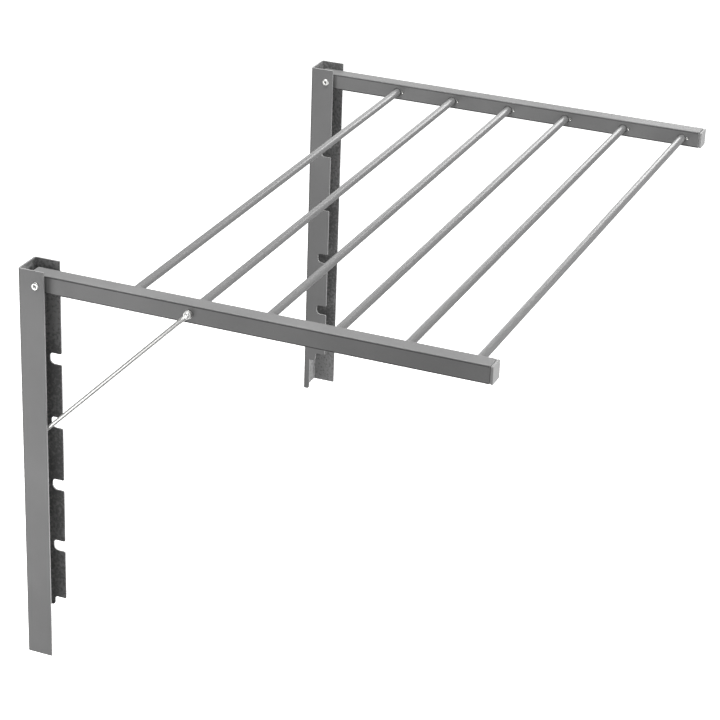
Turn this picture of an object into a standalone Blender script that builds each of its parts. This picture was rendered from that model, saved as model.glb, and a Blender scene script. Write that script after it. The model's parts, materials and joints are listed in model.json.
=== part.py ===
# Wall mounted drying rack whose frame folds down flat into its two wall brackets.
# X runs along the rods, the wall is the plane Y = 0 and the rack stands out towards -Y.
# Z = 0 is the top of the brackets. Lengths are written in millimetres and turned to metres by MM.

import math

import bmesh
import bpy

MM = 0.001
GAP = 0.3 * MM  # left between pieces that touch

# Wall brackets: folded U channels, web on the wall
WIDTH_OVER_BRACKETS = 860 * MM
CHANNEL_WIDTH = 39 * MM
CHANNEL_DEPTH = 33 * MM
CHANNEL_HEIGHT = 500 * MM
SHEET = 2 * MM
BEND_RADIUS = 3 * MM  # outside of the fold
WALL_HOLE_RADIUS = 3.25 * MM
WALL_HOLE_HEIGHTS = (-60 * MM, -250 * MM, -420 * MM)

# Notches in the inner flange: they set the height of the strut's hook, and the folded rods lie in them
NOTCH_COUNT = 4
NOTCH_BELOW_ROD = 0.6 * MM
NOTCH_HEIGHT = 14 * MM
NOTCH_DEPTH = 15 * MM
NOTCH_ROOF_RADIUS = 4 * MM
NOTCH_FLOOR_RADIUS = 6 * MM
NOTCH_LIP_RADIUS = 1.5 * MM
RELIEF_ROOF = -440 * MM
RELIEF_STEP = 12 * MM  # from that roof down to the narrow strip
STRIP_DEPTH = 9 * MM
STRIP_CORNER_RADIUS = 4 * MM
STRIP_FOOT_RADIUS = 3 * MM

# Folding frame: two square tubes and the drying rods between them
TUBE = 22 * MM
TUBE_WALL = 1.5 * MM
TUBE_CORNER_RADIUS = 2 * MM
PIVOT_FROM_WALL = 22 * MM
PIVOT_BELOW_TOP = 18.5 * MM
TUBE_BEHIND_PIVOT = 12 * MM
FRAME_REACH = 565 * MM  # wall to the front of the end caps
CAP_FLANGE = 3.7 * MM
CAP_INSERT = 12 * MM
ROD_COUNT = 6
FIRST_ROD_FROM_WALL = 128 * MM
ROD_PITCH = 82 * MM
ROD_RADIUS = 5 * MM
ROD_WALL = 0.8 * MM
BUSH_FLANGE_RADIUS = 6.5 * MM
BUSH_FLANGE = 0.7 * MM
BUSH_SLEEVE_RADIUS = 5.95 * MM
BUSH_SLEEVE = 3.5 * MM

# Hinge: tubular rivet through both flanges, with a spacer on each side of the tube
HINGE_SHANK_RADIUS = 3 * MM
HINGE_HEAD_RADIUS = 5 * MM
HINGE_HEAD = 1.5 * MM
HINGE_DIMPLE_RADIUS = 2.1 * MM
SPACER_RADIUS = 5.5 * MM

# Support strut: bent wire, its pivot on the second rod's axis and its hook in the second notch
STRUT_ROD = 2
STRUT_NOTCH = 2
WIRE_RADIUS = 2.5 * MM
WIRE_FROM_TUBE = 3.1 * MM  # wire axis to the tube's side
WIRE_BEND_RADIUS = 6 * MM
EYE_RADIUS = 4.8 * MM
EYE_THICKNESS = 3 * MM
STRUT_RIVET_RADIUS = 2 * MM
STRUT_RIVET_HEAD_RADIUS = 3.2 * MM
STRUT_RIVET_HEAD = 1.1 * MM
WASHER_THICKNESS = 1 * MM
HOOK_SHORT_OF_FLANGE = 0.5 * MM

# Derived places
outer_face_x = WIDTH_OVER_BRACKETS / 2
inner_face_x = outer_face_x - CHANNEL_WIDTH
side_gap = (CHANNEL_WIDTH - 2 * SHEET - TUBE) / 2
tube_outer_x = outer_face_x - SHEET - side_gap
tube_inner_x = tube_outer_x - TUBE
tube_mid_x = tube_outer_x - TUBE / 2
pivot_y = -PIVOT_FROM_WALL
pivot_z = -PIVOT_BELOW_TOP
tube_back_y = pivot_y + TUBE_BEHIND_PIVOT
tube_front_y = -FRAME_REACH + CAP_FLANGE + GAP
rod_places = [-(FIRST_ROD_FROM_WALL + i * ROD_PITCH) for i in range(ROD_COUNT)]
folded_rods = [pivot_z + y - pivot_y for y in rod_places]
notch_floors = [z - ROD_RADIUS - NOTCH_BELOW_ROD for z in folded_rods[:NOTCH_COUNT]]
notch_end_y = -CHANNEL_DEPTH + NOTCH_DEPTH
strut_pivot_y = rod_places[STRUT_ROD - 1]
hook_y = notch_end_y - WIRE_RADIUS - 1 * MM
hook_z = notch_floors[STRUT_NOTCH - 1] + WIRE_RADIUS + 3 * MM


def clear_scene():
    for obj in list(bpy.data.objects):
        bpy.data.objects.remove(obj, do_unlink=True)


def make_material(name, color, metallic, roughness):
    material = bpy.data.materials.new(name)
    material.use_nodes = True
    shader = material.node_tree.nodes["Principled BSDF"]
    shader.inputs["Base Color"].default_value = (*color, 1)
    shader.inputs["Metallic"].default_value = metallic
    shader.inputs["Roughness"].default_value = roughness
    material.diffuse_color = (*color, 1)
    return material


def arc(centre, radius, start, end, steps):
    """Points on an arc, from the start angle to the end angle in degrees, ends included."""
    angles = [math.radians(start + (end - start) * i / steps) for i in range(steps + 1)]
    return [(centre[0] + radius * math.cos(a), centre[1] + radius * math.sin(a)) for a in angles]


def rounded_square(side, radius, steps=3):
    """Outline of a square with round corners, centred on zero."""
    reach = side / 2 - radius
    corners = ((reach, reach, 0), (-reach, reach, 90), (-reach, -reach, 180), (reach, -reach, 270))
    points = []
    for u, v, start in corners:
        points += arc((u, v), radius, start, start + 90, steps)
    return points


def finish_object(name, bm, material, pivot=None):
    """Makes the object from the bmesh. A piece that turns hangs from its pivot and has its origin there."""
    bmesh.ops.recalc_face_normals(bm, faces=bm.faces)
    if pivot:
        bmesh.ops.translate(bm, verts=bm.verts, vec=-pivot.matrix_world.translation)
    mesh = bpy.data.meshes.new(name)
    bm.to_mesh(mesh)
    bm.free()
    mesh.shade_smooth()
    mesh.set_sharp_from_angle(angle=math.radians(35))
    obj = bpy.data.objects.new(name, mesh)
    bpy.context.scene.collection.objects.link(obj)
    if material:
        mesh.materials.append(material)
    if pivot:
        obj.parent = pivot
    return obj


def loft(sections):
    """Closed body through rings of points that have equal counts; the two ends are capped."""
    bm = bmesh.new()
    rings = [[bm.verts.new(point) for point in section] for section in sections]
    count = len(rings[0])
    for near, far in zip(rings, rings[1:]):
        for i in range(count):
            j = (i + 1) % count
            bm.faces.new((near[i], near[j], far[j], far[i]))
    bm.faces.new(list(reversed(rings[0])))
    bm.faces.new(rings[-1])
    return bm


def ring_body(rings):
    """Closed body whose rings join up last to first, as a tube's outside, end, inside and end do."""
    bm = bmesh.new()
    loops = [[bm.verts.new(point) for point in ring] for ring in rings]
    count = len(loops[0])
    for near, far in zip(loops, loops[1:] + loops[:1]):
        for i in range(count):
            j = (i + 1) % count
            bm.faces.new((near[i], near[j], far[j], far[i]))
    return bm


def circle_x(x, radius, centre_y, centre_z, sides):
    """Ring of points about an axis that runs along X."""
    turns = [2 * math.pi * (i + 0.5) / sides for i in range(sides)]
    return [(x, centre_y + radius * math.cos(t), centre_z + radius * math.sin(t)) for t in turns]


def turned_solid(profile, centre_y, centre_z, sides):
    """Solid turned about an X axis from (x, radius) pairs."""
    return loft([circle_x(x, r, centre_y, centre_z, sides) for x, r in profile])


def turned_ring(profile, centre_y, centre_z, sides):
    """Ring turned about an X axis from a closed loop of (x, radius) pairs."""
    return ring_body([circle_x(x, r, centre_y, centre_z, sides) for x, r in profile])


def make_cutter(name, bm):
    cutter = finish_object(name, bm, None)
    cutter.hide_render = True
    cutter.display_type = "WIRE"
    return cutter


def cut(obj, cutters):
    for cutter in cutters:
        modifier = obj.modifiers.new(cutter.name, "BOOLEAN")
        modifier.operation = "DIFFERENCE"
        modifier.object = cutter
        modifier.solver = "EXACT"


def channel_outline(side):
    """U section of a bracket seen from above. side is -1 for the left bracket and 1 for the right."""
    inside_radius = BEND_RADIUS - SHEET
    left, right = 0, CHANNEL_WIDTH
    fold_left = (left + BEND_RADIUS, -BEND_RADIUS)
    fold_right = (right - BEND_RADIUS, -BEND_RADIUS)
    points = [(left, -CHANNEL_DEPTH)]
    points += arc(fold_left, BEND_RADIUS, 180, 90, 4)
    points += arc(fold_right, BEND_RADIUS, 90, 0, 4)
    points += [(right, -CHANNEL_DEPTH), (right - SHEET, -CHANNEL_DEPTH)]
    points += arc(fold_right, inside_radius, 0, 90, 4)
    points += arc(fold_left, inside_radius, 90, 180, 4)
    points += [(left + SHEET, -CHANNEL_DEPTH)]
    return [(side * (outer_face_x - x), y) for x, y in points]


def notch_outline(floor_z):
    """Side view of one notch, open past the flange's front edge, as (y, z) points."""
    front = -CHANNEL_DEPTH
    outside = front - 4 * MM
    roof = floor_z + NOTCH_HEIGHT
    lip = NOTCH_LIP_RADIUS
    low_turn = (notch_end_y - NOTCH_FLOOR_RADIUS, floor_z + NOTCH_FLOOR_RADIUS)
    high_turn = (notch_end_y - NOTCH_ROOF_RADIUS, roof - NOTCH_ROOF_RADIUS)
    points = [(outside, floor_z - lip), (front, floor_z - lip)]
    points += arc((front + lip, floor_z - lip), lip, 180, 90, 3)[1:]
    points += arc(low_turn, NOTCH_FLOOR_RADIUS, -90, 0, 6)
    points += arc(high_turn, NOTCH_ROOF_RADIUS, 0, 90, 5)
    points += arc((front + lip, roof + lip), lip, -90, -180, 3)
    points += [(outside, roof + lip)]
    return points


def relief_outline():
    """Side view of what is cut away below the last notch, which leaves a narrow strip with a round foot."""
    front = -CHANNEL_DEPTH
    outside = front - 4 * MM
    below = -CHANNEL_HEIGHT - 4 * MM
    lip = NOTCH_LIP_RADIUS
    strip = -STRIP_DEPTH
    step_z = RELIEF_ROOF - RELIEF_STEP
    corner = STRIP_CORNER_RADIUS
    foot = STRIP_FOOT_RADIUS
    high_turn = (notch_end_y - NOTCH_ROOF_RADIUS, RELIEF_ROOF - NOTCH_ROOF_RADIUS)
    points = [(outside, below), (strip + foot, below), (strip + foot, -CHANNEL_HEIGHT)]
    points += arc((strip + foot, -CHANNEL_HEIGHT + foot), foot, -90, -180, 4)[1:]
    points += [(strip, step_z)]
    points += arc((notch_end_y + corner, step_z + corner), corner, -90, -180, 4)
    points += arc(high_turn, NOTCH_ROOF_RADIUS, 0, 90, 5)
    points += arc((front + lip, RELIEF_ROOF + lip), lip, -90, -180, 3)
    points += [(outside, RELIEF_ROOF + lip)]
    return points


def flange_cutter(name, outline, side):
    """Prism of a side view outline, long enough to pass through the inner flange only."""
    start = side * (inner_face_x - 3 * MM)
    end = side * (inner_face_x + SHEET + 3 * MM)
    return make_cutter(name, loft([[(x, y, z) for y, z in outline] for x in (start, end)]))


def wall_hole_cutter(name, x, z):
    turns = [2 * math.pi * i / 24 for i in range(24)]
    rings = []
    radius = WALL_HOLE_RADIUS
    for y in (2 * MM, -SHEET - 2 * MM):
        rings.append([(x + radius * math.cos(t), y, z + radius * math.sin(t)) for t in turns])
    return make_cutter(name, loft(rings))


def cross_hole_cutter(name, start, end, radius, y, z):
    return make_cutter(name, turned_solid([(start, radius), (end, radius)], y, z, 24))


def make_bracket(label, side, material):
    outline = channel_outline(side)
    bm = loft([[(x, y, z) for x, y in outline] for z in (-CHANNEL_HEIGHT, 0)])
    bracket = finish_object(label + "_bracket", bm, material)
    cutters = []
    for i, floor_z in enumerate(notch_floors):
        cutters.append(flange_cutter(f"cut_{label}_notch_{i + 1}", notch_outline(floor_z), side))
    cutters.append(flange_cutter(f"cut_{label}_relief", relief_outline(), side))
    hinge_ends = [side * (inner_face_x - 3 * MM), side * (outer_face_x + 3 * MM)]
    hinge_hole = HINGE_SHANK_RADIUS + GAP
    cutters.append(cross_hole_cutter(f"cut_{label}_hinge", *hinge_ends, hinge_hole, pivot_y, pivot_z))
    middle_x = side * (outer_face_x - CHANNEL_WIDTH / 2)
    for i, z in enumerate(WALL_HOLE_HEIGHTS):
        cutters.append(wall_hole_cutter(f"cut_{label}_wall_{i + 1}", middle_x, z))
    cut(bracket, cutters)


def make_hinge(label, side, rivet_material, spacer_material):
    """Tubular rivet with a dimpled head at each end, and the two spacers that centre the tube."""
    outer = outer_face_x + GAP
    inner = inner_face_x - GAP
    dimple = HINGE_DIMPLE_RADIUS
    head_profile = (
        (-1 * MM, dimple * 0.5),
        (0, dimple),
        (HINGE_HEAD, dimple + 0.5 * MM),
        (HINGE_HEAD, HINGE_HEAD_RADIUS - 1 * MM),
        (HINGE_HEAD - 0.5 * MM, HINGE_HEAD_RADIUS - 0.2 * MM),
        (0, HINGE_HEAD_RADIUS),
        (0, HINGE_SHANK_RADIUS),
    )
    profile = [(side * (outer + x), r) for x, r in head_profile]
    profile += [(side * (inner - x), r) for x, r in reversed(head_profile)]
    finish_object(label + "_hinge_rivet", turned_solid(profile, pivot_y, pivot_z, 24), rivet_material)
    bore = HINGE_SHANK_RADIUS + GAP
    for place, start, end in (
        ("outer", tube_outer_x + GAP, outer_face_x - SHEET - GAP),
        ("inner", inner_face_x + SHEET + GAP, tube_inner_x - GAP),
    ):
        corners = ((start, bore), (start, SPACER_RADIUS), (end, SPACER_RADIUS), (end, bore))
        spacer = turned_ring([(side * x, r) for x, r in corners], pivot_y, pivot_z, 24)
        finish_object(f"{label}_hinge_spacer_{place}", spacer, spacer_material)


def make_arm(label, side, hinge, material, cap_material):
    """Square tube on the hinge, with the rods' holes in its inner wall and a cap in its front end."""
    centre_x = side * tube_mid_x
    outside = rounded_square(TUBE, TUBE_CORNER_RADIUS)
    inside = rounded_square(TUBE - 2 * TUBE_WALL, TUBE_CORNER_RADIUS - TUBE_WALL)
    rings = []
    for outline, y in (
        (outside, tube_back_y),
        (outside, tube_front_y),
        (inside, tube_front_y),
        (inside, tube_back_y),
    ):
        rings.append([(centre_x + u, y, pivot_z + v) for u, v in outline])
    arm = finish_object(label + "_arm", ring_body(rings), material, hinge)
    through = [side * (tube_inner_x - 2 * MM), side * (tube_outer_x + 2 * MM)]
    hinge_hole = HINGE_SHANK_RADIUS + GAP
    cutters = [cross_hole_cutter(f"cut_{label}_arm_hinge", *through, hinge_hole, pivot_y, pivot_z)]
    inner_wall = [side * (tube_inner_x - 2 * MM), side * (tube_inner_x + TUBE_WALL + 2 * MM)]
    bush_hole = BUSH_SLEEVE_RADIUS + GAP
    for i, y in enumerate(rod_places):
        cutters.append(cross_hole_cutter(f"cut_{label}_rod_{i + 1}", *inner_wall, bush_hole, y, pivot_z))
    if side < 0:
        outer_wall = [side * (tube_outer_x - TUBE_WALL - 2 * MM), side * (tube_outer_x + 2 * MM)]
        radius = STRUT_RIVET_RADIUS + GAP
        cutters.append(cross_hole_cutter("cut_strut_rivet", *outer_wall, radius, strut_pivot_y, pivot_z))
    cut(arm, cutters)
    insert = TUBE - 2 * TUBE_WALL - 2 * GAP
    flange_back_y = tube_front_y - GAP
    sections = (
        (flange_back_y + CAP_INSERT, insert - 1 * MM, 1 * MM),
        (flange_back_y + CAP_INSERT - 1.5 * MM, insert, 1 * MM),
        (flange_back_y, insert, 1 * MM),
        (flange_back_y, TUBE, TUBE_CORNER_RADIUS),
        (-FRAME_REACH + 1 * MM, TUBE, TUBE_CORNER_RADIUS),
        (-FRAME_REACH + 0.3 * MM, TUBE - 0.7 * MM, TUBE_CORNER_RADIUS),
        (-FRAME_REACH, TUBE - 2 * MM, TUBE_CORNER_RADIUS),
    )
    rings = []
    for y, size, radius in sections:
        rings.append([(centre_x + u, y, pivot_z + v) for u, v in rounded_square(size, radius)])
    finish_object(label + "_arm_cap", loft(rings), cap_material, hinge)


def make_rods(hinge, rod_material, bush_material):
    """Thin tubes from one arm's outer wall to the other's, each in a flanged bush at both ends."""
    half = tube_outer_x - TUBE_WALL - GAP
    bore = ROD_RADIUS - ROD_WALL
    bush_bore = ROD_RADIUS + GAP
    for i, y in enumerate(rod_places):
        loop = [(-half, ROD_RADIUS), (half, ROD_RADIUS), (half, bore), (-half, bore)]
        finish_object(f"rod_{i + 1}", turned_ring(loop, y, pivot_z, 24), rod_material, hinge)
        for label, side in (("left", -1), ("right", 1)):
            face = tube_inner_x - GAP
            end = face - BUSH_FLANGE
            sleeve_end = tube_inner_x + BUSH_SLEEVE
            loop = (
                (end, bush_bore),
                (end, BUSH_FLANGE_RADIUS - 0.4 * MM),
                (end + 0.4 * MM, BUSH_FLANGE_RADIUS),
                (face, BUSH_FLANGE_RADIUS),
                (face, BUSH_SLEEVE_RADIUS),
                (sleeve_end, BUSH_SLEEVE_RADIUS),
                (sleeve_end, bush_bore),
            )
            bm = turned_ring([(side * x, r) for x, r in loop], y, pivot_z, 20)
            finish_object(f"rod_bush_{label}_{i + 1}", bm, bush_material, hinge)


def swept_wire(stations, sides):
    """Body through oval sections. A station is (point, half size along one axis, half size along the other,
    and those two axes)."""
    rings = []
    for point, half_u, half_v, axis_u, axis_v in stations:
        ring = []
        for i in range(sides):
            turn = 2 * math.pi * (i + 0.5) / sides
            u = half_u * math.cos(turn)
            v = half_v * math.sin(turn)
            ring.append([p + u * a + v * b for p, a, b in zip(point, axis_u, axis_v)])
        rings.append(ring)
    return loft(rings)


def make_strut(hinge, pivot, wire_material, rivet_material):
    """Wire strut beside the left arm: flattened eye on its rivet, straight run, and a hook bent inwards."""
    wire_x = -(tube_outer_x + WIRE_FROM_TUBE)
    start = (wire_x, strut_pivot_y, pivot_z)
    run_y = hook_y - strut_pivot_y
    run_z = hook_z - pivot_z
    length = math.hypot(run_y, run_z)
    along = (0, run_y / length, run_z / length)
    across = (0, -along[2], along[1])
    hook_end_x = -(inner_face_x + SHEET + HOOK_SHORT_OF_FLANGE)
    flat = EYE_THICKNESS / 2
    stations = []
    for distance, half_x, half_across in (
        (STRUT_RIVET_RADIUS + GAP + 0.9 * MM, flat - 0.2 * MM, 2.9 * MM),
        (9 * MM, flat, 2.9 * MM),
        (16 * MM, WIRE_RADIUS, WIRE_RADIUS),
        (length - WIRE_BEND_RADIUS, WIRE_RADIUS, WIRE_RADIUS),
    ):
        point = [p + distance * a for p, a in zip(start, along)]
        stations.append((point, half_x, half_across, (1, 0, 0), across))
    for step in range(1, 6):
        turn = math.radians(90 * step / 5)
        ahead = length - WIRE_BEND_RADIUS + WIRE_BEND_RADIUS * math.sin(turn)
        sideways = WIRE_BEND_RADIUS * (1 - math.cos(turn))
        point = [p + ahead * a for p, a in zip(start, along)]
        point[0] += sideways
        axis_u = (math.cos(turn), -along[1] * math.sin(turn), -along[2] * math.sin(turn))
        stations.append((point, WIRE_RADIUS, WIRE_RADIUS, axis_u, across))
    hook = [p + length * a for p, a in zip(start, along)]
    for x, radius in ((hook_end_x - 0.6 * MM, WIRE_RADIUS), (hook_end_x, WIRE_RADIUS - 0.6 * MM)):
        stations.append(((x, hook[1], hook[2]), radius, radius, (0, -along[1], -along[2]), across))
    strut = finish_object("support_strut", swept_wire(stations, 16), wire_material, pivot)
    bore = STRUT_RIVET_RADIUS + GAP
    loop = (
        (wire_x - flat, bore),
        (wire_x - flat, EYE_RADIUS),
        (wire_x + flat, EYE_RADIUS),
        (wire_x + flat, bore),
    )
    eye = make_cutter("join_strut_eye", turned_ring(loop, strut_pivot_y, pivot_z, 28))
    join = strut.modifiers.new("eye", "BOOLEAN")
    join.operation = "UNION"
    join.object = eye
    join.solver = "EXACT"

    face = -tube_outer_x
    loop = (
        (face - GAP, bore),
        (face - GAP, EYE_RADIUS + 0.4 * MM),
        (face - GAP - WASHER_THICKNESS, EYE_RADIUS + 0.4 * MM),
        (face - GAP - WASHER_THICKNESS, bore),
    )
    washer = turned_ring(loop, strut_pivot_y, pivot_z, 28)
    finish_object("strut_washer", washer, rivet_material, hinge)
    head = wire_x - flat - GAP
    tail = face + TUBE_WALL + GAP
    profile = (
        (head - STRUT_RIVET_HEAD, 0.8 * MM),
        (head - STRUT_RIVET_HEAD * 0.85, STRUT_RIVET_HEAD_RADIUS * 0.6),
        (head - STRUT_RIVET_HEAD * 0.4, STRUT_RIVET_HEAD_RADIUS * 0.92),
        (head, STRUT_RIVET_HEAD_RADIUS),
        (head, STRUT_RIVET_RADIUS),
        (tail, STRUT_RIVET_RADIUS),
        (tail, STRUT_RIVET_HEAD_RADIUS),
        (tail + 2.5 * MM, STRUT_RIVET_HEAD_RADIUS),
        (tail + 3.5 * MM, STRUT_RIVET_RADIUS),
    )
    rivet = turned_solid(profile, strut_pivot_y, pivot_z, 24)
    finish_object("strut_rivet", rivet, rivet_material, hinge)


def make_pivot(name, place, parent=None):
    """Empty on a joint's axis, which the moving pieces hang from."""
    pivot = bpy.data.objects.new(name, None)
    pivot.empty_display_size = 30 * MM
    bpy.context.scene.collection.objects.link(pivot)
    pivot.location = place
    if parent:
        pivot.parent = parent
        pivot.location -= parent.location
    bpy.context.view_layer.update()
    return pivot


def main():
    clear_scene()
    grey_coat = make_material("grey_powder_coat", (0.165, 0.165, 0.168), 0.0, 0.45)
    rod_coat = make_material("light_grey_coat", (0.33, 0.33, 0.335), 0.2, 0.35)
    cap_plastic = make_material("grey_plastic", (0.22, 0.22, 0.22), 0.0, 0.5)
    bush_plastic = make_material("dark_nylon", (0.12, 0.12, 0.12), 0.0, 0.5)
    zinc = make_material("bright_zinc", (0.78, 0.78, 0.78), 1.0, 0.25)
    hinge = make_pivot("frame_hinge_axis", (0, pivot_y, pivot_z))
    for label, side in (("left", -1), ("right", 1)):
        make_bracket(label, side, grey_coat)
        make_hinge(label, side, zinc, bush_plastic)
        make_arm(label, side, hinge, grey_coat, cap_plastic)
    make_rods(hinge, rod_coat, bush_plastic)
    strut_place = (-(tube_outer_x + WIRE_FROM_TUBE), strut_pivot_y, pivot_z)
    strut_pivot = make_pivot("strut_pivot_axis", strut_place, hinge)
    make_strut(hinge, strut_pivot, zinc, zinc)


main()
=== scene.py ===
import json
import math

import bmesh
import bpy
from mathutils import Matrix, Vector


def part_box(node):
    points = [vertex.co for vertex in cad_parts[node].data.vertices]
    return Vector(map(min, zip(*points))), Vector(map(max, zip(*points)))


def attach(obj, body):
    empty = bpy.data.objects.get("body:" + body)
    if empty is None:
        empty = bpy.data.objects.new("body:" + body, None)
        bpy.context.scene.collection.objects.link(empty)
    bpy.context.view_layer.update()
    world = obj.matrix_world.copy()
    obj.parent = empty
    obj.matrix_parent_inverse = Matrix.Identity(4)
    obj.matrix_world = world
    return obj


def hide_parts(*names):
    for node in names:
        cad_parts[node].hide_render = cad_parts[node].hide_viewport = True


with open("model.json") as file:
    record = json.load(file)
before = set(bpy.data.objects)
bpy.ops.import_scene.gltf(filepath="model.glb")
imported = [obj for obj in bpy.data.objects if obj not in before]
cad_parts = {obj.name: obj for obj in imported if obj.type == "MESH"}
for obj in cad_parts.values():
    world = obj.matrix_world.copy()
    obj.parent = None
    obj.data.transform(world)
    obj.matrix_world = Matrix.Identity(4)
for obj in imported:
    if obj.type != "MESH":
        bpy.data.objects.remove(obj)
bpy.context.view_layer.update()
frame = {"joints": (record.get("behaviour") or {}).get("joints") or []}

mm = 0.001
scene = bpy.context.scene
wallBody = "wall_brackets"
frameBody = "frame"
strutBody = "strut"


# Small helpers

def linear(hexColour):
    parts = [int(hexColour[i:i + 2], 16) / 255 for i in (1, 3, 5)]
    return [p / 12.92 if p <= 0.04045 else ((p + 0.055) / 1.055) ** 2.4 for p in parts] + [1.0]


def addNode(tree, kind, settings=None, inputs=None):
    made = tree.nodes.new(kind)
    for key, value in (settings or {}).items():
        setattr(made, key, value)
    for key, value in (inputs or {}).items():
        if isinstance(value, bpy.types.NodeSocket):
            tree.links.new(value, made.inputs[key])
        else:
            made.inputs[key].default_value = value
    return made


def arcPoints(centre, radius, start, end, steps):
    angles = [math.radians(start + (end - start) * i / steps) for i in range(steps + 1)]
    return [(centre[0] + radius * math.cos(a), centre[1] + radius * math.sin(a)) for a in angles]


def roundedSquare(side, radius, steps):
    reach = side / 2 - radius
    points = []
    for u, v, start in ((1, 1, 0), (-1, 1, 90), (-1, -1, 180), (1, -1, 270)):
        points += arcPoints((u * reach, v * reach), radius, start, start + 90, steps)
    return points


def skinRings(rings, closed=False):
    bm = bmesh.new()
    loops = [[bm.verts.new(p) for p in ring] for ring in rings]
    count = len(loops[0])
    pairs = list(zip(loops, loops[1:] + loops[:1])) if closed else list(zip(loops, loops[1:]))
    for near, far in pairs:
        for i in range(count):
            j = (i + 1) % count
            bm.faces.new((near[i], near[j], far[j], far[i]))
    if not closed:
        bm.faces.new(loops[0][::-1])
        bm.faces.new(loops[-1])
    bmesh.ops.recalc_face_normals(bm, faces=bm.faces)
    return bm


def ringAcross(x, radius, centre, sides):
    turns = [2 * math.pi * (i + 0.5) / sides for i in range(sides)]
    return [(x, centre[0] + radius * math.cos(t), centre[1] + radius * math.sin(t)) for t in turns]


def turned(profile, centre, sides, closed=False):
    return skinRings([ringAcross(x, r, centre, sides) for x, r in profile], closed)


def addPiece(name, bm, materials, body, stands=()):
    mesh = bpy.data.meshes.new(name)
    bm.to_mesh(mesh)
    bm.free()
    mesh.shade_smooth()
    mesh.set_sharp_from_angle(angle=math.radians(32))
    piece = bpy.data.objects.new(name, mesh)
    scene.collection.objects.link(piece)
    for material in materials:
        mesh.materials.append(material)
    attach(piece, body)
    if stands:
        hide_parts(*stands)
    return piece


def softenEdges(piece, width, edgeHighlightSlot):
    bevel = piece.modifiers.new("softened edges", "BEVEL")
    bevel.width = width
    bevel.segments = 2
    bevel.limit_method = "ANGLE"
    bevel.angle_limit = math.radians(35)
    # the rounded edges take the paler edge colour, a painted highlight
    bevel.material = edgeHighlightSlot


def evenNormals(piece):
    # flat faces keep one direction up to their rounded edges
    weighted = piece.modifiers.new("even normals", "WEIGHTED_NORMAL")
    weighted.keep_sharp = True
    weighted.weight = 90


def freeze(piece):
    # the modifiers' result becomes the mesh, so that the next step works on it
    graph = bpy.context.evaluated_depsgraph_get()
    done = bpy.data.meshes.new_from_object(piece.evaluated_get(graph))
    piece.modifiers.clear()
    old = piece.data
    piece.data = done
    bpy.data.meshes.remove(old)


def makeCutter(name, bm, material):
    # its material stays on the cut faces
    mesh = bpy.data.meshes.new(name)
    bm.to_mesh(mesh)
    bm.free()
    mesh.materials.append(material)
    cutter = bpy.data.objects.new(name, mesh)
    scene.collection.objects.link(cutter)
    return cutter


def cutAway(piece, cutters):
    for cutter in cutters:
        cut = piece.modifiers.new(cutter.name, "BOOLEAN")
        cut.operation = "DIFFERENCE"
        cut.solver = "EXACT"
        cut.material_mode = "TRANSFER"
        cut.object = cutter
    freeze(piece)
    for cutter in cutters:
        bpy.data.objects.remove(cutter)


# Materials: each one's two colours are the ends of its slow change in tone

def startMaterial(name):
    material = bpy.data.materials.new(name)
    material.use_nodes = True
    tree = material.node_tree
    place = addNode(tree, "ShaderNodeTexCoord").outputs["Object"]
    return material, tree, tree.nodes["Principled BSDF"], place


def finishSurface(tree, shader, pattern, share, colours, rough, relief, height):
    # gloss and relief both follow the surface's own pattern
    paint = addNode(tree, "ShaderNodeMix", {"data_type": "RGBA"}, {
        0: share, 6: linear(colours[0]), 7: linear(colours[1])})
    gloss = addNode(tree, "ShaderNodeMapRange", None, {
        "Value": pattern, "From Min": 0.3, "From Max": 0.7, "To Min": rough[0], "To Max": rough[1]})
    bump = addNode(tree, "ShaderNodeBump", None, {
        "Strength": relief, "Distance": height, "Height": pattern})
    tree.links.new(paint.outputs[2], shader.inputs["Base Color"])
    tree.links.new(gloss.outputs["Result"], shader.inputs["Roughness"])
    tree.links.new(bump.outputs["Normal"], shader.inputs["Normal"])


powderCoat = {
    # polyester powder baked on sheet steel: satin, with a soft orange peel
    "peelSize": 2.4 * mm,  # the real peel is 1 mm, drawn coarser so that it shows
    "peelHeight": 0.2 * mm,  # higher than the real one, to go with that size
    "cloudSize": 90 * mm,  # slow changes in the coat's thickness
    "ior": 1.5,
}


def makePowderCoat(name, colours, peel, relief, rough, speck):
    # peel widens the grain, and speck is how much of it shows as light and dark spots
    material, tree, shader, place = startMaterial(name)
    shader.inputs["IOR"].default_value = powderCoat["ior"]
    peelNoise = addNode(tree, "ShaderNodeTexNoise", None, {
        "Vector": place, "Scale": 1 / (powderCoat["peelSize"] * peel), "Detail": 2.0, "Roughness": 0.55})
    cloud = addNode(tree, "ShaderNodeTexNoise", None, {
        "Vector": place, "Scale": 1 / powderCoat["cloudSize"], "Detail": 3.0})
    cloudPart = addNode(tree, "ShaderNodeMapRange", None, {
        "Value": cloud.outputs["Fac"], "From Min": 0.35, "From Max": 0.65})
    grainPart = addNode(tree, "ShaderNodeMapRange", None, {
        "Value": peelNoise.outputs["Fac"], "From Min": 0.32, "From Max": 0.68,
        "To Min": -speck, "To Max": speck})
    share = addNode(tree, "ShaderNodeMath", {"operation": "ADD", "use_clamp": True}, {
        0: cloudPart.outputs["Result"], 1: grainPart.outputs["Result"]})
    finishSurface(tree, shader, peelNoise.outputs["Fac"], share.outputs["Value"], colours,
                  rough, relief, powderCoat["peelHeight"])
    return material


drawnMetal = {
    # cold drawn steel: fine lines along its length, which stretch its highlights
    # the real lines and pores are about 0.1 mm across, all drawn coarser so that they show
    "tubeLine": 2.0 * mm,
    "tubeLineLength": 120 * mm,
    "wireLine": 1.6 * mm,
    "wireLineLength": 30 * mm,
    "pressedPore": 1.2 * mm,
    "height": 0.1 * mm,
}


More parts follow.
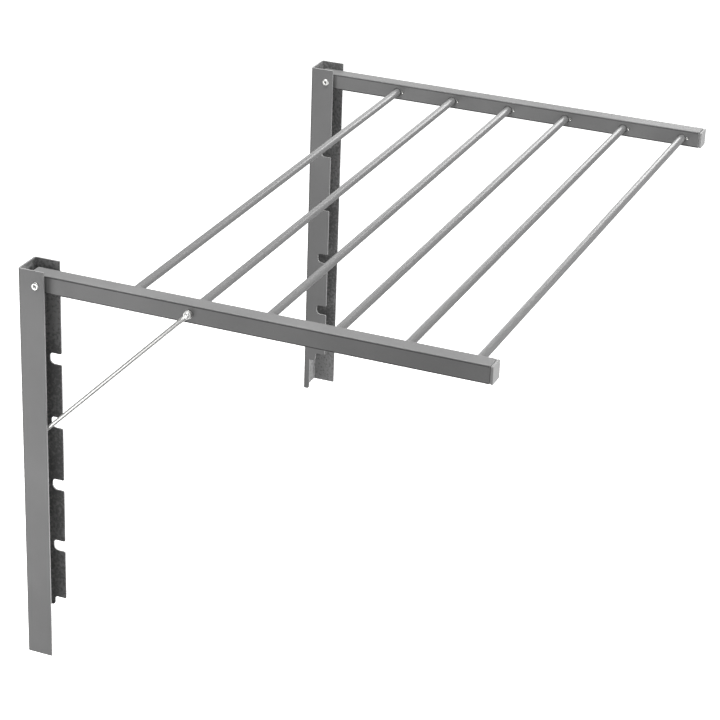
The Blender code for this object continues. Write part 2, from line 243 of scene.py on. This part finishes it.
def makeDrawnMetal(name, colours, metallic, rough, lineSize, lineLength, relief, ior=None):
    material, tree, shader, place = startMaterial(name)
    shader.inputs["Metallic"].default_value = metallic
    if ior:  # only a lacquer states one, bare metal keeps the usual value
        shader.inputs["IOR"].default_value = ior
    stretched = addNode(tree, "ShaderNodeMapping", None, {
        "Vector": place, "Scale": (1 / lineLength, 1 / lineSize, 1 / lineSize)})
    lines = addNode(tree, "ShaderNodeTexNoise", None, {
        "Vector": stretched.outputs["Vector"], "Scale": 1.0, "Detail": 3.0, "Roughness": 0.6})
    part = addNode(tree, "ShaderNodeMapRange", None, {
        "Value": lines.outputs["Fac"], "From Min": 0.3, "From Max": 0.7})
    finishSurface(tree, shader, lines.outputs["Fac"], part.outputs["Result"], colours,
                  rough, relief, drawnMetal["height"])
    return material


mouldedPlastic = {
    # injection moulded: even colour, a spark eroded grain and a dull sheen
    # the real grain is about 0.1 mm, drawn coarser so that it shows
    "absGrain": 1.4 * mm,
    "nylonGrain": 1.2 * mm,
    "grainHeight": 0.1 * mm,
    "flowSize": 12 * mm,  # slow changes in tone where the melt flowed
    "ior": 1.53,
}


def makeMouldedPlastic(name, colours, grainSize, rough, relief):
    material, tree, shader, place = startMaterial(name)
    shader.inputs["IOR"].default_value = mouldedPlastic["ior"]
    grain = addNode(tree, "ShaderNodeTexNoise", None, {
        "Vector": place, "Scale": 1 / grainSize, "Detail": 2.0})
    flow = addNode(tree, "ShaderNodeTexNoise", None, {
        "Vector": place, "Scale": 1 / mouldedPlastic["flowSize"], "Detail": 1.0})
    finishSurface(tree, shader, grain.outputs["Fac"], flow.outputs["Fac"], colours,
                  rough, relief, mouldedPlastic["grainHeight"])
    return material


# the brackets' sides: one even mid grey with a wide, soft sheen
coatOutside = makePowderCoat("powder coated steel, smooth", ("#676767", "#6f6f6f"),
                             1.0, 0.12, (0.40, 0.50), 0.10)
# powder hardly reaches the inside of a channel, so it is rough and blotchy there
coatInside = makePowderCoat("powder coated steel, thin coat", ("#626262", "#808080"),
                            1.5, 0.5, (0.48, 0.64), 0.9)
# the coat is thin on a cut edge, and its paler colour also paints in the highlight the edge catches, a thin
# pale line
coatEdgeHighlight = makePowderCoat("powder coated steel, cut edge, painted highlight", ("#848484", "#919191"),
                          1.0, 0.10, (0.34, 0.42), 0.1)
# the tubes are smoother than the sheet, and their tops take the light evenly
coatTube = makePowderCoat("powder coated square tube", ("#686868", "#717171"),
                          1.1, 0.05, (0.45, 0.53), 0.12)
# painted shade: a dark line runs along each rounded corner of the tubes
coatCornerPaintedShade = makePowderCoat("powder coated tube corner, painted shade", ("#3a3a3a", "#444444"),
                            1.1, 0.10, (0.50, 0.60), 0.1)
# silver lacquer over drawn tube: each rod has a bright band along it and a darker underside
lacquer = makeDrawnMetal("silver lacquered steel tube", ("#777777", "#7f7f7f"), 0.30, (0.30, 0.32),
                         drawnMetal["tubeLine"], drawnMetal["tubeLineLength"], 0.003, 1.5)
# bright zinc on drawn wire: nearly white on the lit side, grey on the other
zincWire = makeDrawnMetal("bright zinc plated wire", ("#c4c4c2", "#d6d6d4"), 0.75, (0.34, 0.42),
                          drawnMetal["wireLine"], drawnMetal["wireLineLength"], 0.02)
# the same plating on a pressed head, where it reads as a white ring
zincHead = makeDrawnMetal("bright zinc plated rivet", ("#cacac8", "#dadad8"), 1.0, (0.36, 0.44),
                          drawnMetal["pressedPore"], drawnMetal["pressedPore"], 0.02)
# the punch breaks the coat, which leaves a small bright fleck beside a dark one
punched = makeDrawnMetal("bare steel in a punched mark", ("#a6a6a4", "#b8b8b6"), 1.0, (0.28, 0.36),
                         drawnMetal["pressedPore"], drawnMetal["pressedPore"], 0.01)
# the end caps are a paler and duller grey than the coat beside them
absGrey = makeMouldedPlastic("moulded abs, grey", ("#838383", "#8d8d8d"),
                             mouldedPlastic["absGrain"], (0.42, 0.56), 0.10)
# the bushes show as a thin dark ring round each rod: dark grey nylon, whose dark tone also paints the shade
# in the gap at each rod end
darkNylonAndPaintedShade = makeMouldedPlastic("moulded nylon, dark grey and painted shade", ("#4a4a4a", "#545454"),
                               mouldedPlastic["nylonGrain"], (0.45, 0.6), 0.10)
print("materials made:", len(bpy.data.materials))


# Places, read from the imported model

bracketLow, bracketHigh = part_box("left_bracket")
armLow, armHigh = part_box("left_arm")
capLow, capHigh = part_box("left_arm_cap")
rivetLow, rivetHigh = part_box("left_hinge_rivet")
rodBoxes = [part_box(f"rod_{i}") for i in range(1, 7)]
rodY = [(low.y + high.y) / 2 for low, high in rodBoxes]
rodRadius = (rodBoxes[0][1].z - rodBoxes[0][0].z) / 2
foldJoint, strutJoint = frame["joints"]
pivot = Vector(foldJoint["pos_m"])
strutPivot = Vector(strutJoint["pos_m"])
# the left side's x with its sign turned, so that side * x serves both sides
outerX = -bracketLow.x
innerX = -bracketHigh.x
tubeOuterX = -armLow.x
tubeInnerX = -armHigh.x
tubeMidX = (tubeOuterX + tubeInnerX) / 2
tubeSize = tubeOuterX - tubeInnerX
print("rods found:", len(rodBoxes))


bracket = {
    "sheet": 2 * mm,
    "bend": 3 * mm,
    "bendSteps": 8,
    "notches": 4,
    "notchUnderRod": 0.6 * mm,
    "notchHeight": 14 * mm,
    "notchEnd": -18 * mm,
    "floorRadius": 6 * mm,
    "roofRadius": 4 * mm,
    "lipRadius": 1.5 * mm,
    "reliefRoof": -440 * mm,  # below it the flange narrows to a strip
    "reliefStep": 12 * mm,
    "stepRadius": 4 * mm,
    "strip": -9 * mm,
    "stripFoot": 3 * mm,
    "holeHeights": (-60 * mm, -250 * mm, -420 * mm),
    "holeRadius": 3.25 * mm,
    "holeSides": 40,
    "sinkRadius": 5.2 * mm,
    "sinkDepth": 0.9 * mm,
    "sinkBeyond": 0.6 * mm,  # the countersink's cone goes on past the sheet
    "drillReach": 3 * mm,
    "edge": 0.35 * mm,
}
foldedRodZ = [pivot.z + y - pivot.y for y in rodY]
notchFloors = [z - rodRadius - bracket["notchUnderRod"] for z in foldedRodZ[:bracket["notches"]]]


def flangeOutline():
    # side view of the inner flange from its top front corner down to its foot, as (y, z)
    b = bracket
    front, end = bracketLow.y, b["notchEnd"]
    lip, under, over = b["lipRadius"], b["floorRadius"], b["roofRadius"]
    points = [(front, 0.0)]
    for floor in notchFloors:
        roof = floor + b["notchHeight"]
        points += arcPoints((front + lip, roof + lip), lip, 180, 270, 4)
        points += arcPoints((end - over, roof - over), over, 90, 0, 8)
        points += arcPoints((end - under, floor + under), under, 0, -90, 10)
        points += arcPoints((front + lip, floor - lip), lip, 90, 180, 4)
    roof = b["reliefRoof"]
    step = roof - b["reliefStep"]
    turn, foot = b["stepRadius"], b["stripFoot"]
    points += arcPoints((front + lip, roof + lip), lip, 180, 270, 4)
    points += arcPoints((end - over, roof - over), over, 90, 0, 8)
    points += arcPoints((end + turn, step + turn), turn, 180, 270, 8)
    points += [(b["strip"], step)]
    points += arcPoints((b["strip"] + foot, bracketLow.z + foot), foot, 180, 270, 6)
    return points


def drillHoles(piece, side):
    b = bracket
    x = side * (outerX + innerX) / 2
    face = -b["sheet"]
    turns = [2 * math.pi * k / b["holeSides"] for k in range(b["holeSides"])]
    steps = ((b["drillReach"], b["holeRadius"]), (face + b["sinkDepth"], b["holeRadius"]),
             (face - b["sinkBeyond"], b["sinkRadius"]), (face - b["drillReach"], b["sinkRadius"]))
    cutters = []
    for z in b["holeHeights"]:
        rings = [[(x + r * math.cos(t), y, z + r * math.sin(t)) for t in turns] for y, r in steps]
        # the hole's walls take the edge colour with its painted highlight
        cutters.append(makeCutter("screw hole", skinRings(rings), coatEdgeHighlight))
    cutAway(piece, cutters)


def makeBracket(label, side):
    # one bent skin, which is then thickened inwards
    b = bracket
    bend, steps = b["bend"], b["bendSteps"]
    outline = [(outerX, bracketLow.y)]
    outline += arcPoints((outerX - bend, -bend), bend, 0, 90, steps)
    outline += arcPoints((innerX + bend, -bend), bend, 90, 180, steps)
    bm = bmesh.new()
    top = [bm.verts.new((side * x, y, 0.0)) for x, y in outline]
    foot = [bm.verts.new((side * x, y, bracketLow.z)) for x, y in outline]
    for i in range(len(outline) - 1):
        bm.faces.new((top[i], foot[i], foot[i + 1], top[i + 1]))
    edge = [bm.verts.new((side * innerX, y, z)) for y, z in flangeOutline()]
    bm.faces.new([top[-1], foot[-1]] + edge[::-1])
    bmesh.ops.remove_doubles(bm, verts=bm.verts, dist=0.01 * mm)
    bmesh.ops.recalc_face_normals(bm, faces=bm.faces)
    flat = max(bm.faces, key=lambda f: abs(f.normal.y) * f.calc_area())
    if flat.normal.y < 0:  # the web has to face the wall
        bmesh.ops.reverse_faces(bm, faces=bm.faces)
    piece = addPiece(f"{label}_wall_bracket", bm, [coatOutside, coatEdgeHighlight, coatInside],
                     wallBody, [f"{label}_bracket"])
    thick = piece.modifiers.new("sheet", "SOLIDIFY")
    thick.thickness = b["sheet"]
    thick.offset = -1
    thick.use_even_offset = True
    thick.material_offset = 2
    # the sheet's cut rim takes the edge colour with its painted highlight
    thick.material_offset_rim = 1
    freeze(piece)
    drillHoles(piece, side)
    softenEdges(piece, b["edge"], 1)
    evenNormals(piece)


arm = {
    "wall": 1.5 * mm,
    "corner": 2 * mm,
    "cornerSteps": 6,
    "edge": 0.55 * mm,
    "markRadius": 1.8 * mm,  # punched mark in front of each rod, which locks the rod in the tube
    "markDepth": 1 * mm,
    "markAhead": 7.8 * mm,
    "markAbove": 0.5 * mm,
    "markSides": (28, 18),
}


def punchMarks(piece, side):
    a = arm
    ball = (a["markRadius"] ** 2 + a["markDepth"] ** 2) / (2 * a["markDepth"])
    around, along = a["markSides"]
    bm = bmesh.new()
    for y in rodY:
        centre = (side * (tubeInnerX + a["markDepth"] - ball), y - a["markAhead"], pivot.z + a["markAbove"])
        bmesh.ops.create_uvsphere(bm, u_segments=around, v_segments=along, radius=ball,
                                  matrix=Matrix.Translation(centre))
    cutAway(piece, [makeCutter("punch", bm, punched)])


def makeArm(label, side):
    a = arm
    centre = side * tubeMidX
    outside = roundedSquare(tubeSize, a["corner"], a["cornerSteps"])
    inside = roundedSquare(tubeSize - 2 * a["wall"], a["corner"] - a["wall"], a["cornerSteps"])
    rings = []
    for outline, y in ((outside, armHigh.y), (outside, armLow.y), (inside, armLow.y), (inside, armHigh.y)):
        rings.append([(centre + u, y, pivot.z + v) for u, v in outline])
    bm = skinRings(rings, True)
    for face in bm.faces:
        rise = abs(face.normal.z)
        # the side-facing part of each rounded corner takes the painted shade
        if 0.1 < rise < 0.8 and abs(face.normal.y) < 0.1:  # the rounded corners
            face.material_index = 2
    piece = addPiece(f"{label}_square_tube", bm, [coatTube, coatEdgeHighlight, coatCornerPaintedShade],
                     frameBody, [f"{label}_arm"])
    softenEdges(piece, a["edge"], 1)
    freeze(piece)
    punchMarks(piece, side)
    evenNormals(piece)


weld = {
    # bead along the inside of the tube's lower wall
    "width": 1.6 * mm,
    "height": 0.5 * mm,
    "aside": 3 * mm,  # from the middle of the wall
    "behind": 1.5 * mm,  # from the tube's rear end
    "shorter": 18 * mm,  # than the tube
    "steps": 28,
    "wave": 0.12,  # share of the width that comes and goes
    "waveTurn": 2.3,
    "root": 0.3,  # share of the height that is sunk in the wall
}


def makeWeld(label, side):
    w = weld
    x = side * tubeMidX + side * w["aside"]
    floor = pivot.z - tubeSize / 2 + arm["wall"]
    section = arcPoints((0, 0), 1, 0, 180, 6) + [(-1, -w["root"]), (1, -w["root"])]
    bead = []
    for i in range(w["steps"] + 1):
        y = armHigh.y - w["behind"] - i * (armHigh.y - armLow.y - w["shorter"]) / w["steps"]
        half = w["width"] * (1 + w["wave"] * math.sin(i * w["waveTurn"])) / 2
        bead.append([(x + u * half, y, floor + v * w["height"]) for u, v in section])
    addPiece(f"{label}_tube_weld", skinRings(bead), [coatInside], frameBody)


cap = {
    "corner": 1.8 * mm,
    "cornerSteps": 6,
    "play": 0.6 * mm,  # of the insert in the tube
    "insertCorner": 1 * mm,
    "insertTaper": 1.5 * mm,
    "insertEnd": 0.1 * mm,
    "seat": 0.3 * mm,  # left open between the tube's end and the cap
    "groove": 0.8 * mm,  # deep, behind the cap's flange
    "grooveFloor": 0.2 * mm,
    "grooveSlope": 1.0 * mm,
    "round": 0.7 * mm,
    "roundSteps": 6,
    "dome": 0.25 * mm,
    "domeRings": (0.7, 0.4, 0.15),
}


def makeCap(label, side):
    c = cap
    centre = side * tubeMidX
    insert = tubeSize - 2 * arm["wall"] - c["play"]
    shoulder = tubeSize - 2 * c["groove"]
    seat = armLow.y - c["seat"]
    top = capLow.y + c["dome"]
    # from the insert's rear end to the cap's front, as (y, size, corner)
    sections = [(capHigh.y, insert - c["insertCorner"], c["insertCorner"]),
                (capHigh.y - c["insertTaper"], insert, c["insertCorner"]),
                (armLow.y - c["insertEnd"], insert, c["insertCorner"]),
                (seat, shoulder, c["corner"]),
                (seat - c["grooveFloor"], shoulder + c["grooveFloor"], c["corner"]),
                (seat - c["grooveSlope"], tubeSize, c["corner"])]
    for i in range(c["roundSteps"] + 1):
        turn = math.radians(90 * i / c["roundSteps"])
        inset = c["round"] * (1 - math.cos(turn))
        sections.append((top + c["round"] * (1 - math.sin(turn)), tubeSize - 2 * inset, c["corner"]))
    for share in c["domeRings"]:
        y = capLow.y + c["dome"] * share ** 2
        sections.append((y, (tubeSize - 2 * c["round"]) * share, c["corner"] * share))
    rings = []
    for y, size, radius in sections:
        outline = roundedSquare(size, radius, c["cornerSteps"])
        rings.append([(centre + u, y, pivot.z + v) for u, v in outline])
    piece = addPiece(f"{label}_end_cap", skinRings(rings), [absGrey], frameBody,
                     [f"{label}_arm_cap"])
    evenNormals(piece)


rod = {"wall": 0.8 * mm, "sides": 48, "chamfer": 0.4 * mm, "lengths": 24}


def makeRod(number, low, high, y):
    r = rod
    bore = rodRadius - r["wall"]
    profile = [(low.x, bore), (low.x, rodRadius - r["chamfer"]), (low.x + r["chamfer"], rodRadius)]
    for i in range(1, r["lengths"]):
        profile.append((low.x + (high.x - low.x) * i / r["lengths"], rodRadius))
    profile += [(high.x - r["chamfer"], rodRadius), (high.x, rodRadius - r["chamfer"]), (high.x, bore)]
    addPiece(f"drying_rod_{number}", turned(profile, (y, pivot.z), r["sides"], True), [lacquer],
             frameBody, [f"rod_{number}"])


bush = {
    "sides": 40,
    "round": 0.3 * mm,
    "step": 0.6 * mm,  # from the flange's radius down to the sleeve's
    "play": 0.12 * mm,  # round the rod
    "seat": 0.05 * mm,  # between the flange and the tube
}


def makeBush(label, side, number, y):
    node = f"rod_bush_{label}_{number}"
    low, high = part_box(node)
    flangeEnd = -high.x if side < 0 else low.x
    sleeveEnd = -low.x if side < 0 else high.x
    bore = rodRadius + bush["play"]
    flange = (high.z - low.z) / 2
    sleeve = flange - bush["step"]
    seat = tubeInnerX - bush["seat"]
    r = bush["round"]
    loop = [(flangeEnd + r, bore), (flangeEnd, bore + r)]
    loop += arcPoints((flangeEnd + r, flange - r), r, 180, 90, 3)
    loop += [(seat, flange), (seat, sleeve), (sleeveEnd, sleeve), (sleeveEnd, bore)]
    bm = turned([(side * x, q) for x, q in loop], (y, pivot.z), bush["sides"], True)
    # the bush's dark tone paints the shade in the gap round the rod end
    addPiece(f"{label}_rod_bush_{number}", bm, [darkNylonAndPaintedShade], frameBody, [node])


hinge = {
    "head": 1.45 * mm,
    "headRadius": (rivetHigh.z - rivetLow.z) / 2,
    "dimple": 2.1 * mm,
    "shank": 3 * mm,
    "sides": 48,
    "spacerRound": 0.5 * mm,
    "spacerPlay": 0.3 * mm,
}


def headProfile(h):
    # half of a tubular rivet's head from the dimple's bottom to its rim, as (height, radius)
    deep, rim = h["dimple"], h["headRadius"]
    dimple = [(-0.1, 0.05 * deep), (-0.05, 0.6 * deep), (0.1, 0.85 * deep), (0.7, 0.97 * deep),
              (0.93, 1.08 * deep), (1.0, 1.45 * deep)]
    crown = [(0.93, 0.78 * rim), (0.75, 0.9 * rim), (0.45, 0.975 * rim), (0.15, rim), (0.02, 0.99 * rim)]
    return [(h["head"] * height, radius) for height, radius in dimple + crown + [(0.02, h["shank"])]]


def makeHinge(label, side):
    h = hinge
    half = headProfile(h)
    profile = [(side * (outerX + x), r) for x, r in half]
    profile += [(side * (innerX - x), r) for x, r in half[::-1]]
    addPiece(label + "_hinge_tubular_rivet", turned(profile, (pivot.y, pivot.z), h["sides"]), [zincHead],
             wallBody, [label + "_hinge_rivet"])
    for place in ("outer", "inner"):
        node = f"{label}_hinge_spacer_{place}"
        low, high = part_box(node)
        radius = (high.z - low.z) / 2
        r = h["spacerRound"]
        bore = h["shank"] + h["spacerPlay"]
        loop = [(low.x, bore)] + arcPoints((low.x + r, radius - r), r, 180, 90, 2)
        loop += arcPoints((high.x - r, radius - r), r, 90, 0, 2) + [(high.x, bore)]
        addPiece(f"{label}_{place}_spacer", turned(loop, (pivot.y, pivot.z), h["sides"], True), [darkNylonAndPaintedShade],
                 wallBody, [node])


strut = {
    "wire": 2.5 * mm,
    # the wire is pressed flat towards its eye: distance from the pivot, half thickness, half width
    "pressed": ((3.6 * mm, 1.29 * mm, 2.7 * mm), (7 * mm, 1.35 * mm, 2.95 * mm), (10 * mm, 1.5 * mm, 3 * mm),
                (13 * mm, 2.05 * mm, 2.75 * mm), (17 * mm, 2.5 * mm, 2.5 * mm)),
    "straightSteps": 8,
    "bend": 6 * mm,
    "bendSteps": 10,
    "hookEnd": -388.5 * mm,  # the tip shows beyond the notch
    # its rounded tip: distance before the end, share of the wire's radius
    "tip": ((2.2 * mm, 1.0), (0.8 * mm, 1.0), (0.3 * mm, 0.88), (0.0, 0.6)),
    "sides": 28,
}


def makeStrutWire():
    s = strut
    wire, bend = s["wire"], s["bend"]
    start = Vector(strutPivot)
    low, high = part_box("support_strut")
    hook = Vector((start.x, high.y - wire, low.z + wire))
    along = (hook - start).normalized()
    length = (hook - start).length
    across = Vector((0, -along.z, along.y))
    sideways = Vector((1, 0, 0))
    # each station is its middle, two half widths and their two directions
    stations = [(start + along * far, thick, wide, sideways, across) for far, thick, wide in s["pressed"]]
    roundFrom = s["pressed"][-1][0]
    run = length - bend - roundFrom
    for i in range(1, s["straightSteps"] + 1):
        middle = start + along * (roundFrom + run * i / s["straightSteps"])
        stations.append((middle, wire, wire, sideways, across))
    for i in range(1, s["bendSteps"] + 1):
        turn = math.radians(90 * i / s["bendSteps"])
        middle = start + along * (length - bend + bend * math.sin(turn))
        middle += sideways * bend * (1 - math.cos(turn))
        axis = sideways * math.cos(turn) - along * math.sin(turn)
        stations.append((middle, wire, wire, axis, across))
    for before, share in s["tip"]:
        middle = Vector((s["hookEnd"] - before, hook.y, hook.z))
        stations.append((middle, wire * share, wire * share, -along, across))
    turns = [2 * math.pi * (i + 0.5) / s["sides"] for i in range(s["sides"])]
    rings = []
    for middle, halfU, halfV, axisU, axisV in stations:
        rings.append([middle + axisU * halfU * math.cos(t) + axisV * halfV * math.sin(t) for t in turns])
    addPiece("strut_wire", skinRings(rings), [zincWire], strutBody, ["support_strut"])


eye = {
    # the flattened ring at the wire's upper end, with soft rims
    "half": 1.5 * mm,
    "radius": 4.8 * mm,
    "bore": 2.2 * mm,
    "soft": 0.7 * mm,
    "chamfer": 0.4 * mm,
    "sides": 48,
}


def makeStrutEye():
    e = eye
    half, r, lead = e["half"], e["soft"], e["chamfer"]
    loop = [(-half + lead / 2, e["bore"]), (-half, e["bore"] + lead)]
    loop += arcPoints((-half + r, e["radius"] - r), r, 180, 90, 3)
    loop += arcPoints((half - r, e["radius"] - r), r, 90, 0, 3)
    loop += [(half, e["bore"] + lead), (half - lead / 2, e["bore"])]
    bm = turned([(strutPivot.x + x, q) for x, q in loop], (strutPivot.y, strutPivot.z), e["sides"], True)
    addPiece("strut_eye", bm, [zincWire], strutBody)


domedRivet = {
    "head": 1.1 * mm,
    "radius": 3.2 * mm,
    "crown": 0.05 * mm,
    "domeSteps": 7,
    "play": 0.25 * mm,  # between the head and the eye
    "shank": 2 * mm,
    "tail": 2.5 * mm,
    "tailEnd": 3.5 * mm,
    "sides": 40,
}


def makeStrutRivet():
    d = domedRivet
    head = strutPivot.x - eye["half"] - d["play"]
    profile = [(head - d["head"], d["crown"])]
    for i in range(1, d["domeSteps"] + 1):
        turn = math.radians(90 * i / d["domeSteps"])
        profile.append((head - d["head"] * math.cos(turn), d["radius"] * math.sin(turn)))
    inside = -tubeOuterX + arm["wall"]
    profile += [(head, d["shank"]), (inside, d["shank"]), (inside, d["radius"]),
                (inside + d["tail"], d["radius"]), (inside + d["tailEnd"], d["shank"])]
    bm = turned(profile, (strutPivot.y, strutPivot.z), d["sides"])
    addPiece("strut_domed_rivet", bm, [zincHead], frameBody, ["strut_rivet"])


washer = {"bore": 2.3 * mm, "soft": 0.25 * mm, "sides": 40}


def makeStrutWasher():
    low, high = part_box("strut_washer")
    radius = (high.z - low.z) / 2
    bore, soft = washer["bore"], washer["soft"]
    loop = [(low.x, bore), (low.x, radius - soft), (low.x + soft, radius),
            (high.x - soft, radius), (high.x, radius - soft), (high.x, bore)]
    bm = turned(loop, (strutPivot.y, strutPivot.z), washer["sides"], True)
    addPiece("strut_flat_washer", bm, [zincHead], frameBody, ["strut_washer"])


for label, side in (("left", -1), ("right", 1)):
    makeBracket(label, side)
    makeArm(label, side)
    makeWeld(label, side)
    makeCap(label, side)
    makeHinge(label, side)
    for number, y in enumerate(rodY, 1):
        makeBush(label, side, number, y)
for number, (low, high) in enumerate(rodBoxes, 1):
    makeRod(number, low, high, rodY[number - 1])
makeStrutWire()
makeStrutEye()
makeStrutRivet()
makeStrutWasher()


# Camera, floor and light

view = {
    "place": (-2.5800, -1.2767, 1.0453),  # in metres, left of the rack and above it
    "turn": 22.858,  # from +X towards +Y, in degrees
    "down": 24.018,
    "roll": 1.635,
    "lens": 119.70,
    "shift": (0.0556, -0.05),
}


def makeCamera():
    turn, down, roll = (math.radians(view[k]) for k in ("turn", "down", "roll"))
    ahead = Vector((math.cos(turn) * math.cos(down), math.sin(turn) * math.cos(down), -math.sin(down)))
    right = Vector((math.sin(turn), -math.cos(turn), 0))
    up = right.cross(ahead)
    rolledRight = right * math.cos(roll) + up * math.sin(roll)
    rolledUp = up * math.cos(roll) - right * math.sin(roll)
    data = bpy.data.cameras.new("camera")
    data.lens = view["lens"]
    data.sensor_width = 36
    data.shift_x, data.shift_y = view["shift"]
    data.clip_end = 60
    camera = bpy.data.objects.new("camera", data)
    scene.collection.objects.link(camera)
    facing = Matrix((rolledRight, rolledUp, -ahead)).transposed()
    camera.matrix_world = Matrix.Translation(view["place"]) @ facing.to_4x4()
    scene.camera = camera


studio = {
    "white": "#ffffff",
    "ambient": 0.26,
    "paper": "#f4f4f4",
    "paperHeight": -1.15,
    "paperSize": 30,
    "paperRough": 0.9,
    "paperGlow": 1.0,  # a white sweep, lit evenly
}
# name, place, width and height in metres, watts, aimed at
lamps = (
    ("overhead softbox", (-0.2, 0.1, 1.95), (1.6, 1.6), 77, (0, -0.3, 0)),
    ("front softbox", (0.5, -3.0, 0.3), (1.8, 1.8), 98, (0, -0.3, -0.1)),
    ("low softbox", (0.2, -1.0, -1.1), (1.2, 1.2), 15, (0, -0.3, 0)),
    ("side softbox", (-3.6, -0.75, 0.2), (1.3, 1.3), 30, (-0.3, -0.1, -0.2)),
    ("left softbox", (-1.1, 0.42, -0.55), (0.6, 0.6), 4.8, (-0.4, -0.05, -0.3)),
    ("right softbox", (1.25, -0.4, 0.36), (0.4, 0.4), 2.5, (0.3, -0.3, 0)),
    ("rear right softbox", (1.25, 0.15, 0.3), (0.6, 0.6), 1.6, (0.4, -0.15, 0)),
)


def makeSurroundings():
    # plain white to the camera, and a much weaker fill on the rack
    world = bpy.data.worlds.new("studio")
    scene.world = world
    world.use_nodes = True
    tree = world.node_tree
    tree.nodes.clear()
    white = linear(studio["white"])
    backdrop = addNode(tree, "ShaderNodeBackground", None, {"Color": white, "Strength": 1.0})
    fill = addNode(tree, "ShaderNodeBackground", None, {"Color": white, "Strength": studio["ambient"]})
    path = addNode(tree, "ShaderNodeLightPath")
    mixed = addNode(tree, "ShaderNodeMixShader", None, {
        0: path.outputs["Is Camera Ray"], 1: fill.outputs[0], 2: backdrop.outputs[0]})
    addNode(tree, "ShaderNodeOutputWorld", None, {"Surface": mixed.outputs[0]})


def makeFloor():
    paper = bpy.data.materials.new("white studio paper")
    paper.use_nodes = True
    shader = paper.node_tree.nodes["Principled BSDF"]
    shader.inputs["Base Color"].default_value = linear(studio["paper"])
    shader.inputs["Roughness"].default_value = studio["paperRough"]
    shader.inputs["Emission Color"].default_value = linear(studio["white"])
    shader.inputs["Emission Strength"].default_value = studio["paperGlow"]
    bm = bmesh.new()
    bmesh.ops.create_grid(bm, x_segments=4, y_segments=4, size=studio["paperSize"])
    mesh = bpy.data.meshes.new("floor")
    bm.to_mesh(mesh)
    bm.free()
    mesh.materials.append(paper)
    floor = bpy.data.objects.new("floor", mesh)
    floor.location.z = studio["paperHeight"]
    floor.visible_glossy = False  # so its glow is neither reflected in the rack
    floor.visible_diffuse = False  # nor lights it from below
    scene.collection.objects.link(floor)


def makeLamps():
    for name, place, size, watts, target in lamps:
        data = bpy.data.lights.new(name, "AREA")
        data.shape = "RECTANGLE"
        data.size, data.size_y = size
        data.energy = watts
        lamp = bpy.data.objects.new(name, data)
        lamp.location = place
        lamp.rotation_mode = "QUATERNION"
        lamp.rotation_quaternion = (Vector(target) - Vector(place)).to_track_quat("-Z", "Y")
        lamp.visible_camera = False
        scene.collection.objects.link(lamp)


makeCamera()
makeSurroundings()
makeFloor()
makeLamps()
scene.view_settings.view_transform = "Standard"
print("camera and studio made")
